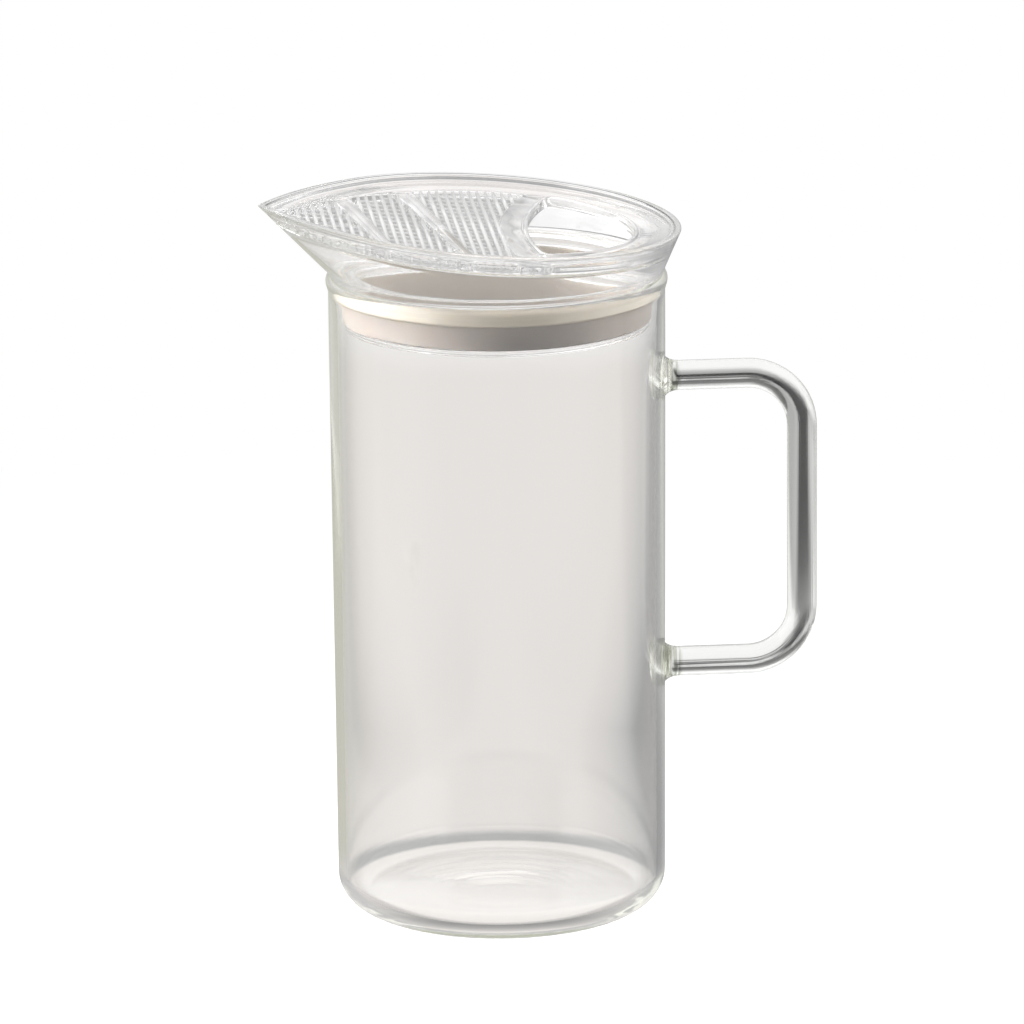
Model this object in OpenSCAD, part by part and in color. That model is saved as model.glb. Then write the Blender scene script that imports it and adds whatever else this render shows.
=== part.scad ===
// Glass tea pitcher with a rod handle and a clear leaf-shaped strainer lid.
// Millimetres, +Z up. The origin is the middle of the foot, on the body's axis.
// The handle lies along +X and the spout of the lid along -X.

/* [Glass body] */
// Outside diameter of the glass at the mouth
mouth_d = 73; // [60:0.5:95]
// Outside diameter of the glass just above the foot
foot_d = 72; // [58:0.5:95]
// Height of the glass, from the table to its rim
glass_h = 142; // [120:1:220]
// Thickness of the side wall
wall_t = 1.8; // [1.4:0.1:3]
// Thickness of the floor
floor_t = 2.6; // [2:0.1:5]
// Outside radius of the corner between wall and foot
corner_r = 7; // [5:0.5:10]
// How far the fire-polished rim bead stands out from the wall
bead_proud = 0.55; // [0.2:0.05:1.2]
// Height of the rim bead
bead_h = 3; // [2.2:0.1:4]

/* [Handle] */
// Thickness of the glass rod
rod_d = 6.5; // [5:0.1:9]
// Drop from the glass rim to the middle of the upper bar
upper_bar_drop = 24.4; // [20:0.1:40]
// Height of the handle between the middles of its two bars
bar_span = 64.7; // [50:0.1:80]
// Room for fingers between the wall and the grip
finger_gap = 26.9; // [20:0.1:40]
// Radius of the two bends, on the middle of the rod
bend_r = 12; // [8:0.5:18]
// How far the melted end of the rod flares out where it meets the wall
weld_flare = 2.1; // [1:0.1:3]
// Length of the flare, out from the wall
weld_len = 3; // [2:0.1:5]

/* [Lid funnel] */
// Thickness of the flange that lies over the glass rim
flange_t = 1.5; // [1.2:0.1:3]
// Height of the leaf-shaped rim over the glass rim, on the axis
rim_rise = 12.6; // [9:0.1:20]
// Slope of the rim, up towards the spout
rim_slope = 4.1; // [0:0.1:8]
// How far the rim stands out past the glass at the sides
rim_flare = 4.9; // [2:0.1:9]
// How far the middle of the leaf lies off the axis, towards the spout
leaf_shift = 1.2; // [0:0.1:4]
// How far the tip of the spout stands out past the glass
tip_reach = 15.1; // [11:0.1:24]
// Radius of the two sides of the leaf where they run to the tip
side_r = 95; // [70:1:160]
// Thickness of the funnel wall
funnel_t = 1.4; // [1.2:0.1:2]
// Width of the ledge in the funnel, under the strainer's edge
ledge_w = 1.2; // [1:0.1:2.5]

/* [Plug and gasket] */
// Depth of the plug below the glass rim
plug_depth = 11.1; // [9:0.1:16]
// Thickness of the plug wall
plug_t = 1.6; // [1.2:0.1:2.5]
// Height of the clear ring that holds the gasket up
keeper_h = 1.3; // [1:0.1:2]
// How far the clear rings below and above the gasket stand out from the plug wall
keeper_proud = 1.4; // [1:0.1:1.6]
// Thickness of the gasket between the plug and its outer face
gasket_t = 1.7; // [1.2:0.1:1.9]
// How far the sealing lip stands out from the gasket
lip_proud = 1.1; // [0.6:0.1:1.6]
// Height of the gasket's sealing lip
lip_h = 2.6; // [1.5:0.1:4]
// Drop from the glass rim to the top of the sealing lip
lip_drop = 1.4; // [0.8:0.1:3]

/* [Strainer] */
// Depth of the strainer's floor below the rim
dish_depth = 2.2; // [1.6:0.1:3]
// Thickness of the strainer's floor
plate_t = 1.9; // [1.4:0.1:2.5]
// Depth of the strainer's edge below the rim
edge_drop = 0.25; // [0.1:0.05:0.6]
// Width of the sloping border at the sides and rear
border_w = 6.8; // [4:0.1:9]
// Width of the sloping border at the tip
border_tip = 1.8; // [1:0.1:4]
// Radius of the two sides of the floor where they run to the tip
floor_side_r = 60; // [56:1:90]
// Solid margin between the border and the mesh
mesh_margin = 0.8; // [0.4:0.1:2]
// Pitch of the upper mesh bars, along the lid
bar_pitch = 1.8; // [1.6:0.05:3]
// Width of an upper mesh bar
bar_w = 0.75; // [0.5:0.05:1]
// Pitch of the lower mesh bars, across the lid
rung_pitch = 3.7; // [3:0.1:5]
// Width of a lower mesh bar
rung_w = 1.1; // [0.6:0.05:1.5]
// Place of the vein nearest the tip, on the middle line
vein_a_x = -29.1; // [-32:0.1:-26]
// Place of the second vein, on the middle line
vein_b_x = -13.4; // [-17:0.1:-10]
// Slant of the veins across the lid
vein_slant = 8.8; // [0:0.1:15]
// Width of a vein at its wide end
vein_wide = 4.8; // [3:0.1:6]
// Width of a vein at its narrow end
vein_narrow = 2.4; // [1.5:0.1:4]
// Place of the curved band's edge, next to the mesh
band_x = 0.2; // [-3:0.1:3]
// Width of the curved band between the mesh and the half-moon hole
band_w = 6.2; // [4:0.1:9]
// Radius of the curved band's edge next to the mesh
band_r = 100; // [70:1:150]
// Offset of the curved band's bulge across the lid
band_y = -11; // [-15:0.5:0]
// Solid margin between the border and the half-moon hole
moon_margin = 1.9; // [1.8:0.1:4]
// Radius of the half-moon hole's corners
moon_round = 3; // [1:0.1:5]
// Height of the lip round the half-moon hole
moon_lip_h = 0.7; // [0.3:0.1:1.2]
// Width of the lip round the half-moon hole
moon_lip_w = 1.1; // [0.8:0.1:1.5]

/* [Fits] */
// Gap between the flange and the glass rim
seat_clear = 0.3; // [0.2:0.05:0.6]
// Gap between the sealing lip and the glass
lip_clear = 0.15; // [0.1:0.05:0.3]
// Gap between the gasket's bore and the plug
bore_clear = 0.08; // [0.03:0.01:0.1]
// Gap above and below the gasket in its groove
groove_clear = 0.15; // [0.1:0.05:0.3]
// Gap between the strainer's edge and the funnel
tray_clear = 0.1; // [0.05:0.05:0.3]
// Gap left in the flame-welded joints
fuse_gap = 0.02; // [0.01:0.01:0.05]

/* [Hidden] */

$fn = 96;
hull_fn = 48;
leaf_steps = 36;
side_steps = 6;
cut_over = 1;

mouth_r = mouth_d / 2;
foot_r = foot_d / 2;
bore_r = mouth_r - wall_t;
inner_corner_r = corner_r - wall_t;
straight_z = glass_h - plug_depth - bead_h;

upper_bar_z = glass_h - upper_bar_drop;
lower_bar_z = upper_bar_z - bar_span;
grip_x = mouth_r + finger_gap + rod_d / 2;

seat_z = glass_h + seat_clear;
rim_z = glass_h + rim_rise;
leaf_r = mouth_r + rim_flare;
leaf_tip = mouth_r + tip_reach - leaf_shift;
cavity_z = seat_z + flange_t;

plug_z = glass_h - plug_depth;
gasket_r = bore_r - lip_clear - lip_proud;
gasket_bore_r = gasket_r - gasket_t;
groove_r = gasket_bore_r - bore_clear;
throat_r = groove_r - plug_t;
groove_z = plug_z + keeper_h;
lip_top_z = glass_h - lip_drop;
collar_z = lip_top_z + groove_clear;

tray_bottom = dish_depth + plate_t;
ledge_depth = tray_bottom + tray_clear;
floor_r = leaf_r - funnel_t - border_w;
floor_tip = leaf_tip - funnel_t - border_tip;
moon_r = floor_r - moon_margin;
mesh_reach = 2 * leaf_tip;

function wall_radius(z) =
    z > straight_z ? mouth_r
    : foot_r + (mouth_r - foot_r) * (z - corner_r) / (straight_z - corner_r);

function arc(c, r, from, to, steps) =
    [for (i = [0 : steps]) let (a = from + (to - from) * i / steps) c + r * [cos(a), sin(a)]];

// A leaf about the origin with its tip towards -X: a round rear of radius r
// and two flatter sides of radius sr that meet at the tip, drawn inset by i.
function leaf_turn(r, tip, sr) =
    acos((sr * sr - tip * tip - (sr - r) * (sr - r)) / (2 * tip * (sr - r)));

function leaf_points(r, tip, sr, i) =
    let (
        t = leaf_turn(r, tip, sr),
        back = (sr - r) * [cos(t), -sin(t)],
        tip_x = back.x - sqrt(pow(sr - i, 2) - pow(back.y, 2)),
        tip_a = atan2(-back.y, tip_x - back.x)
    )
    concat(
        arc([0, 0], r - i, t - 180, 180 - t, leaf_steps),
        arc(back, sr - i, 180 - t, tip_a, side_steps),
        arc([back.x, -back.y], sr - i, -tip_a, t - 180, side_steps)
    );

module rim_leaf(i = 0) {
    polygon(leaf_points(leaf_r, leaf_tip, side_r, i));
}

module floor_leaf(i = 0) {
    polygon(leaf_points(floor_r, floor_tip, floor_side_r, i));
}

// Puts children drawn about the leaf's middle into the sloping plane of the rim
module in_rim_plane() {
    translate([0, 0, rim_z])
        rotate([0, rim_slope, 0])
            translate([-leaf_shift, 0, 0])
                children();
}

// Outside of the glass as a half section: foot, corner, wall and rim bead
module glass_outline() {
    bead_r = bead_h / 2;
    square([foot_r - corner_r, corner_r]);
    intersection() {
        translate([foot_r - corner_r, corner_r]) circle(corner_r);
        square([foot_r, corner_r]);
    }
    polygon([
        [0, corner_r], [foot_r, corner_r], [mouth_r, straight_z],
        [mouth_r, glass_h - bead_r], [0, glass_h - bead_r]
    ]);
    translate([mouth_r + bead_proud - bead_r, glass_h - bead_r]) circle(bead_r);
}

// Inside of the glass as a half section
module glass_hollow() {
    corner_x = foot_r - wall_t - inner_corner_r;
    corner_z = floor_t + inner_corner_r;
    translate([0, floor_t]) square([corner_x, inner_corner_r]);
    intersection() {
        translate([corner_x, corner_z]) circle(inner_corner_r);
        translate([0, floor_t]) square([foot_r, inner_corner_r]);
    }
    polygon([
        [0, corner_z], [foot_r - wall_t, corner_z], [bore_r, straight_z],
        [bore_r, glass_h + cut_over], [0, glass_h + cut_over]
    ]);
}

module glass_body() {
    color("#dfe6e2", 0.45)
        rotate_extrude()
            difference() {
                glass_outline();
                glass_hollow();
            }
}

// A straight bar of the handle from its weld to the bend
module bar(z) {
    from_x = wall_radius(z) + weld_len;
    translate([from_x, 0, z])
        rotate([0, 90, 0])
            cylinder(d = rod_d, h = grip_x - bend_r - from_x);
}

// A quarter bend that starts at the foot of the grip's end and turns to the wall
module bend() {
    rotate([90, 0, 0])
        rotate_extrude(angle = 90)
            translate([bend_r, 0])
                circle(d = rod_d);
}

module handle_rod() {
    color("#d5ddd8", 0.6) {
        bar(upper_bar_z);
        bar(lower_bar_z);
        translate([grip_x - bend_r, 0, upper_bar_z - bend_r]) bend();
        translate([grip_x - bend_r, 0, lower_bar_z + bend_r]) mirror([0, 0, 1]) bend();
        translate([grip_x, 0, lower_bar_z + bend_r])
            cylinder(d = rod_d, h = bar_span - 2 * bend_r);
    }
}

// A melted rod end: a round foot on the wall that necks in to the rod
module weld(z) {
    difference() {
        translate([wall_radius(z) - cut_over, 0, z])
            rotate([0, 90, 0])
                rotate_extrude()
                    difference() {
                        square([rod_d / 2 + weld_flare, weld_len + cut_over]);
                        translate([rod_d / 2 + weld_len, weld_len + cut_over])
                            circle(weld_len);
                    }
        rotate_extrude()
            translate([fuse_gap, 0])
                glass_outline();
    }
}

module upper_weld() {
    color("#cfdcd0", 0.7) weld(upper_bar_z);
}

module lower_weld() {
    color("#cfdcd0", 0.7) weld(lower_bar_z);
}

// Silicone ring in the plug's groove, with one sealing lip at its top against the glass
module gasket() {
    low_z = groove_z + groove_clear;
    color("#d9d0c4")
        rotate_extrude()
            union() {
                translate([gasket_bore_r, low_z]) square([gasket_t, lip_top_z - low_z]);
                translate([gasket_bore_r, lip_top_z - lip_h])
                    square([bore_r - lip_clear - gasket_bore_r, lip_h]);
            }
}

// Outside of the funnel, from the round seat to the leaf-shaped rim
module funnel_form() {
    hull() {
        translate([0, 0, seat_z]) cylinder(r = mouth_r, h = flange_t / 2, $fn = hull_fn);
        in_rim_plane() translate([0, 0, -edge_drop]) linear_extrude(edge_drop) rim_leaf();
    }
}

// Inside of the funnel, drawn back from the wall by a clearance
module funnel_hollow(clear = 0, over = 0) {
    hull() {
        translate([0, 0, cavity_z])
            cylinder(r = mouth_r - funnel_t - clear, h = flange_t / 2, $fn = hull_fn);
        in_rim_plane()
            translate([0, 0, -edge_drop])
                linear_extrude(edge_drop + over) rim_leaf(funnel_t + clear);
    }
}

// A slab between two depths below the plane of the rim, wider than the lid
module slab(low, high) {
    in_rim_plane()
        translate([-mesh_reach, -mesh_reach, -low])
            cube([2 * mesh_reach, 2 * mesh_reach, low - high]);
}

// Hollow under the ledge that carries the strainer, down to the round floor
module lower_hollow() {
    hull() {
        translate([0, 0, cavity_z])
            cylinder(r = mouth_r - funnel_t, h = flange_t / 2, $fn = hull_fn);
        intersection() {
            funnel_hollow(clear = ledge_w);
            slab(ledge_depth, ledge_depth - edge_drop);
        }
    }
}

module lid_funnel() {
    color("#eef1f2", 0.5)
        difference() {
            union() {
                funnel_form();
                rotate_extrude() {
                    translate([0, seat_z]) square([mouth_r, flange_t]);
                    translate([0, plug_z]) square([groove_r, seat_z - plug_z]);
                    translate([0, plug_z]) square([groove_r + keeper_proud, keeper_h]);
                    translate([0, collar_z]) square([groove_r + keeper_proud, seat_z - collar_z]);
                }
            }
            intersection() {
                funnel_hollow(over = cut_over);
                slab(ledge_depth, -2 * cut_over);
            }
            lower_hollow();
            translate([0, 0, plug_z - cut_over])
                cylinder(r = throat_r, h = cavity_z - plug_z + 2 * cut_over);
        }
}

// One slanted vein across the lid, wide at the back and narrow at the front
module vein(x) {
    lean = tan(vein_slant) * leaf_r;
    polygon([
        [x - lean - vein_wide / 2, leaf_r], [x - lean + vein_wide / 2, leaf_r],
        [x + lean + vein_narrow / 2, -leaf_r], [x + lean - vein_narrow / 2, -leaf_r]
    ]);
}

// Everything on the handle's side of a curved edge that bulges towards the spout
module behind_curve(x, r) {
    translate([x + r, band_y]) circle(r, $fn = 240);
}

// The three mesh panels, seen from above
module mesh_panels() {
    difference() {
        floor_leaf(mesh_margin);
        translate([leaf_shift, 0]) {
            vein(vein_a_x);
            vein(vein_b_x);
            behind_curve(band_x, band_r);
        }
    }
}

// Gaps between bars of one layer, as stripes across the given span
module gaps(pitch, bar) {
    count = floor(mesh_reach / pitch);
    for (i = [-count : count])
        translate([i * pitch + bar / 2, -mesh_reach])
            square([pitch - bar, 2 * mesh_reach]);
}

// The half-moon hole at the handle's end, grown by the width of its lip
module moon(grow = 0) {
    offset(r = moon_round + grow)
        offset(delta = -moon_round)
            intersection() {
                circle(moon_r);
                translate([leaf_shift, 0]) behind_curve(band_x + band_w, band_r);
            }
}

module strainer_plate() {
    layer_t = plate_t / 2;
    color("#f2f4f5", 0.55)
        difference() {
            union() {
                difference() {
                    intersection() {
                        funnel_hollow(clear = tray_clear);
                        slab(tray_bottom, edge_drop);
                    }
                    in_rim_plane()
                        hull() {
                            translate([0, 0, -edge_drop])
                                linear_extrude(edge_drop) rim_leaf(2 * funnel_t);
                            translate([0, 0, -dish_depth])
                                linear_extrude(edge_drop) floor_leaf();
                        }
                }
                in_rim_plane()
                    translate([0, 0, -dish_depth - layer_t])
                        linear_extrude(layer_t + moon_lip_h) moon(moon_lip_w);
            }
            in_rim_plane() {
                translate([0, 0, -tray_bottom - cut_over])
                    linear_extrude(tray_bottom + 2 * cut_over) moon();
                translate([0, 0, -dish_depth - layer_t])
                    linear_extrude(layer_t + edge_drop)
                        intersection() {
                            mesh_panels();
                            gaps(bar_pitch, bar_w);
                        }
                translate([0, 0, -tray_bottom - cut_over])
                    linear_extrude(layer_t + cut_over)
                        intersection() {
                            mesh_panels();
                            rotate(90) gaps(rung_pitch, rung_w);
                        }
            }
        }
}

glass_body();
handle_rod();
upper_weld();
lower_weld();
gasket();
lid_funnel();
strainer_plate();
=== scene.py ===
import math

import bmesh
import bpy
from mathutils import Matrix, Vector


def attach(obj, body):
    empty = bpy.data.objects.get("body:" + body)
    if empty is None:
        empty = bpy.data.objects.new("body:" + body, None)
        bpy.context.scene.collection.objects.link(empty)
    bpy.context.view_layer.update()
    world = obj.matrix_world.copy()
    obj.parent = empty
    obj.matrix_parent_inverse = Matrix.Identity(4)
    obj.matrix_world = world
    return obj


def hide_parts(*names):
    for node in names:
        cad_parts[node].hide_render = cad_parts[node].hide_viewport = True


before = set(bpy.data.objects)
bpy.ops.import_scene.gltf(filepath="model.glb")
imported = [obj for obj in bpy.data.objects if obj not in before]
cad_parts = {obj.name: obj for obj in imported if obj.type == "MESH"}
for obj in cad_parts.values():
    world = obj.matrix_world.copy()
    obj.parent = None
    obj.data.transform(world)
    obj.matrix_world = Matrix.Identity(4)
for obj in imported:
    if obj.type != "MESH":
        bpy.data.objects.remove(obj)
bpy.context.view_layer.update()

# Glass body
# A cylinder of clear heat-resistant glass, blown and trimmed, with a flat floor, a rounded foot
# and a fire-polished bead at the mouth. It stands on a narrow ring round the foot.
MILLIMETRE = 0.001

mouth_r, foot_r, glass_h = 36.5, 36.0, 142.0
wall_t, floor_t, corner_r = 1.8, 2.6, 7.0
straight_z = 127.9
bead_r, bead_x, bead_blend = 1.5, 35.55, 2.6
mouth_round = 0.85
foot_hollow, stand_r, stand_w = 0.5, 29.0, 1.5
hollow_shares = (0.2, 0.4, 0.6, 0.75, 0.85, 0.93)
floor_rings, ring_h, ring_w = (12.0, 16.5, 24.0), 0.02, 0.8
turn_steps, wall_steps, floor_steps = 160, 24, 58
corner_steps, inner_corner_steps = 20, 16
neck_steps, blend_steps, bead_steps, mouth_steps, bore_steps = 4, 8, 10, 8, 6
merge_apart = 1e-4


def smooth(t):
    """Eases a share from 0 to 1."""
    return t * t * (3 - 2 * t)


def arc(x, z, radius, start, end, steps):
    """Points of a half section on a circle, between two angles in degrees."""
    turns = [math.radians(start + (end - start) * i / steps) for i in range(steps + 1)]
    return [(x + radius * math.cos(a), z + radius * math.sin(a)) for a in turns]


def run(start, end, steps):
    """Points of a half section on a straight line, without its ends."""
    shares = [i / steps for i in range(1, steps)]
    return [tuple(a + (b - a) * t for a, b in zip(start, end)) for t in shares]


def finished(bm, name, material, body, slot, *nodes):
    """Makes a shape drawn in millimetres into a piece on a body, in place of CAD nodes."""
    bmesh.ops.scale(bm, vec=(MILLIMETRE,) * 3, verts=bm.verts)
    bmesh.ops.remove_doubles(bm, verts=bm.verts, dist=merge_apart * MILLIMETRE)
    bmesh.ops.recalc_face_normals(bm, faces=bm.faces)
    for face in bm.faces:
        face.smooth = True
    mesh = bpy.data.meshes.new(name)
    bm.to_mesh(mesh)
    bm.free()
    mesh.materials.append(material)
    piece = bpy.data.objects.new(name, mesh)
    bpy.context.scene.collection.objects.link(piece)
    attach(piece, body)
    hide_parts(*nodes)
    return piece


def turned(outline, closed):
    """Spins a half section of (radius, height) points about the axis."""
    bm = bmesh.new()
    chain = [bm.verts.new((r, 0, z)) for r, z in outline]
    pairs = list(zip(chain, chain[1:]))
    if closed:
        pairs.append((chain[-1], chain[0]))
    edges = [bm.edges.new(pair) for pair in pairs]
    bmesh.ops.spin(
        bm, geom=chain + edges, cent=(0, 0, 0), axis=(0, 0, 1),
        angle=math.tau, steps=turn_steps, use_merge=True,
    )
    bmesh.ops.remove_doubles(bm, verts=bm.verts, dist=merge_apart)
    return bm


def floor_height(r):
    """Height of the inside floor at a radius, with its faint pressed rings."""
    return floor_t + sum(ring_h * math.exp(-(((r - ring) / ring_w) ** 2)) for ring in floor_rings)


bore_r = mouth_r - wall_t
inner_corner = corner_r - wall_t
bead_z = glass_h - bead_r
blend_from = bead_z - bead_blend
bead_proud = bead_x + bead_r - mouth_r

body_outline = [(0, foot_hollow)]
for share in hollow_shares:
    lift = foot_hollow * (1 - smooth(share))
    body_outline.append((share * (stand_r - stand_w), lift))
body_outline.append((stand_r - stand_w, 0))
body_outline += arc(stand_r, corner_r, corner_r, -90, 0, corner_steps)
body_outline += run((foot_r, corner_r), (mouth_r, straight_z), wall_steps)
body_outline.append((mouth_r, straight_z))
body_outline += run((mouth_r, straight_z), (mouth_r, blend_from), neck_steps)
for step in range(blend_steps):
    share = step / blend_steps
    body_outline.append((mouth_r + bead_proud * smooth(share), blend_from + bead_blend * share))
body_outline += arc(bead_x, bead_z, bead_r, 0, 90, bead_steps)
body_outline += arc(bead_x, glass_h - mouth_round, mouth_round, 90, 180, mouth_steps)[1:]
body_outline += run((bore_r, glass_h - mouth_round), (bore_r, straight_z), bore_steps)
body_outline.append((bore_r, straight_z))
inner_corner_z = floor_t + inner_corner
body_outline += run((bore_r, straight_z), (foot_r - wall_t, inner_corner_z), wall_steps)
body_outline += arc(stand_r, inner_corner_z, inner_corner, 0, -90, inner_corner_steps)
for step in range(1, floor_steps + 1):
    ring_r = stand_r * (1 - step / floor_steps)
    body_outline.append((ring_r, floor_height(ring_r)))

# Slow waves of hand-drawn glass and moulded plastic, as a height for Bump and a value for
# Roughness. Stretch draws the waves out along the height of the piece.
ripple_starts = {
    "Scale": 40.0, "Stretch": 1.0, "Fine Scale": 900.0, "Fine Share": 0.1, "Smooth": 0.0,
    "Dull": 0.05,
}
fine_range = (0.35, 0.7)
ripple = bpy.data.node_groups.new("surface_ripple", "ShaderNodeTree")
for name, start in ripple_starts.items():
    socket = ripple.interface.new_socket(name, in_out="INPUT", socket_type="NodeSocketFloat")
    socket.default_value = start
for name in ("Height", "Roughness"):
    ripple.interface.new_socket(name, in_out="OUTPUT", socket_type="NodeSocketFloat")


def joined(tree, kind, links, **settings):
    """Adds a node with its settings, and feeds its inputs from sockets or plain values."""
    node = tree.nodes.new(kind)
    for key, value in settings.items():
        setattr(node, key, value)
    for key, value in links.items():
        if isinstance(value, bpy.types.NodeSocket):
            tree.links.new(value, node.inputs[key])
        else:
            node.inputs[key].default_value = value
    return node


def sums(tree, operation, first, second):
    """One sum on two values or sockets."""
    return joined(tree, "ShaderNodeMath", {0: first, 1: second}, operation=operation).outputs[0]


def scaled(tree, first, second):
    """Multiplies two vectors or colours, each a socket or a plain value."""
    node = joined(tree, "ShaderNodeVectorMath", {0: first, 1: second}, operation="MULTIPLY")
    return node.outputs[0]


asked = joined(ripple, "NodeGroupInput", {}).outputs
place = joined(ripple, "ShaderNodeTexCoord", {}).outputs["Object"]
drawn_out = joined(ripple, "ShaderNodeCombineXYZ", {"X": 1.0, "Y": 1.0, "Z": asked["Stretch"]})
along = scaled(ripple, place, drawn_out.outputs[0])
slow = joined(
    ripple, "ShaderNodeTexNoise",
    {"Vector": along, "Scale": asked["Scale"], "Detail": 1.0, "Roughness": 0.4},
)
fine = joined(
    ripple, "ShaderNodeTexNoise",
    {"Vector": place, "Scale": asked["Fine Scale"], "Detail": 2.0, "Roughness": 0.5},
)
fine_part = sums(ripple, "MULTIPLY", fine.outputs[0], asked["Fine Share"])
height = sums(ripple, "ADD", slow.outputs[0], fine_part)
spread = joined(
    ripple, "ShaderNodeMapRange",
    {
        "Value": fine.outputs[0], "From Min": fine_range[0], "From Max": fine_range[1],
        "To Min": asked["Smooth"], "To Max": asked["Dull"],
    },
)
joined(ripple, "NodeGroupOutput", {"Height": height, "Roughness": spread.outputs[0]})


def new_material(name):
    """An empty node material and its tree."""
    material = bpy.data.materials.new(name)
    material.use_nodes = True
    material.node_tree.nodes.clear()
    return material, material.node_tree


def blend(tree, factor, first, second):
    """Mixes two colours, each a socket or a plain value."""
    node = joined(tree, "ShaderNodeMix", {"Factor": factor}, data_type="RGBA")
    for socket, colour in zip((node.inputs[6], node.inputs[7]), (first, second)):
        if isinstance(colour, bpy.types.NodeSocket):
            tree.links.new(colour, socket)
        else:
            socket.default_value = colour
    return node.outputs[2]


def ranged(tree, value, start, end, **settings):
    """The share of the way that a value has come from one value to another."""
    links = {"Value": value, "From Min": start, "From Max": end}
    return joined(tree, "ShaderNodeMapRange", links, **settings).outputs[0]


glow_rise = (0.012, 0.05)


def clear_material(
    name, ior, tint, density, waves, wave_depth, led_shade, led_low, led_from,
    clear=1.0, tone=(1, 1, 1), painted_scatter_glow=0.0,
):
    """A clear or half clear material that takes a little colour with depth and has waves in its
    surface. Light that it leads along inside for many turns is painted in as a faint glow, emitted
    at one ray depth, of one shade near the table and another above. A half clear one has a tone,
    and a painted glow all over that stands in for the light it scatters."""
    material, tree = new_material(name)
    group = joined(tree, "ShaderNodeGroup", waves, node_tree=ripple)
    bump = joined(
        tree, "ShaderNodeBump",
        {"Height": group.outputs["Height"], "Strength": 1.0, "Distance": wave_depth},
    )
    turns = joined(tree, "ShaderNodeLightPath", {}).outputs["Ray Depth"]
    led = joined(tree, "ShaderNodeMath", {0: turns, 1: led_from, 2: 0.5}, operation="COMPARE")
    place = joined(tree, "ShaderNodeTexCoord", {}).outputs["Object"]
    above = joined(tree, "ShaderNodeSeparateXYZ", {0: place}).outputs["Z"]
    shade = blend(tree, ranged(tree, above, *glow_rise), (*led_low, 1), (*led_shade, 1))
    glow = joined(
        tree, "ShaderNodeVectorMath", {0: shade, 1: led.outputs[0], 2: (painted_scatter_glow,) * 3},
        operation="MULTIPLY_ADD",
    )
    shader = joined(
        tree, "ShaderNodeBsdfPrincipled",
        {
            "Base Color": (*tone, 1), "IOR": ior, "Transmission Weight": clear,
            "Roughness": group.outputs["Roughness"], "Normal": bump.outputs["Normal"],
            "Emission Color": (0, 0, 0, 1), "Emission Strength": 1.0,
        },
    )
    tree.links.new(glow.outputs[0], shader.inputs["Emission Color"])
    depth = joined(tree, "ShaderNodeVolumeAbsorption", {"Color": (*tint, 1), "Density": density})
    joined(
        tree, "ShaderNodeOutputMaterial",
        {"Surface": shader.outputs[0], "Volume": depth.outputs[0]},
    )
    return material


clear_glass = clear_material(
    "clear_glass", ior=1.473, tint=(0.80, 0.82, 0.68), density=20.0,
    waves={"Scale": 26.0, "Stretch": 0.25, "Fine Scale": 700.0, "Fine Share": 0.004, "Dull": 0.02},
    wave_depth=0.0006, led_shade=(0.78, 0.77, 0.79), led_low=(0.68, 0.665, 0.74), led_from=11,
)
finished(
    turned(body_outline, closed=False), "glass_body", clear_glass, "jug", "clear_glass",
    "glass_body",
)

# Handle
# A solid rod of the same glass, bent to a D by hand over a flame. Both ends are melted on to the
# wall, where they spread to a trumpet-shaped foot.
rod_r, bend_r, grip_x = 3.25, 12.0, 66.65
bar_heights = (117.6, 52.9)
weld_flare, weld_len, weld_sink = 2.1, 3.0, 0.7
rod_sides, bend_steps = 40, 18
bar_step = 2.0
flare_outs = [0, 0.14, 0.3, 0.5, 0.75, 1.05, 1.4, 1.8, 2.3, 3.0]


def drawn(bm, ring, shift, grow=1.0):
    """Draws a ring of edges out along a shift into a sleeve, and returns the ring at its end."""
    out = bmesh.ops.extrude_edge_only(bm, edges=ring)["geom"]
    verts = [g for g in out if isinstance(g, bmesh.types.BMVert)]
    bmesh.ops.translate(bm, vec=shift, verts=verts)
    middle = sum((v.co for v in verts), Vector()) / len(verts)
    bmesh.ops.scale(bm, vec=(grow,) * 3, space=Matrix.Translation(-middle), verts=verts)
    return [g for g in out if isinstance(g, bmesh.types.BMEdge)]


def bent(bm, ring, centre, angle):
    """Turns a ring round a point in the handle's plane into a bend."""
    verts = list(dict.fromkeys(v for edge in ring for v in edge.verts))
    out = bmesh.ops.spin(
        bm, geom=verts + ring, cent=centre, axis=(0, 1, 0), angle=angle, steps=bend_steps,
    )["geom_last"]
    return [g for g in out if isinstance(g, bmesh.types.BMEdge)]


def wall_radius(z):
    """Outside radius of the glass body at a height."""
    return foot_r + (mouth_r - foot_r) * min(1, (z - corner_r) / (straight_z - corner_r))


def flare_radius(out):
    """Radius of a melted rod end at a distance from the wall."""
    neck = weld_len - min(out, weld_len)
    return min(rod_r + weld_flare, rod_r + weld_len - math.sqrt(weld_len**2 - neck**2))


def flared(bm, ring, outs):
    """Draws a ring through the trumpet-shaped foot at one end of the rod."""
    for before, after in zip(outs, outs[1:]):
        grow = flare_radius(after) / flare_radius(before)
        ring = drawn(bm, ring, (after - before, 0, 0), grow)
    return ring


def straight_bar(bm, ring, x, z):
    """Draws a ring along a straight part of the rod, in steps of about one length."""
    count = round(math.hypot(x, z) / bar_step)
    for step in range(count):
        ring = drawn(bm, ring, (x / count, 0, z / count))
    return ring


high, low = bar_heights
bend_x = grip_x - bend_r

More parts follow.
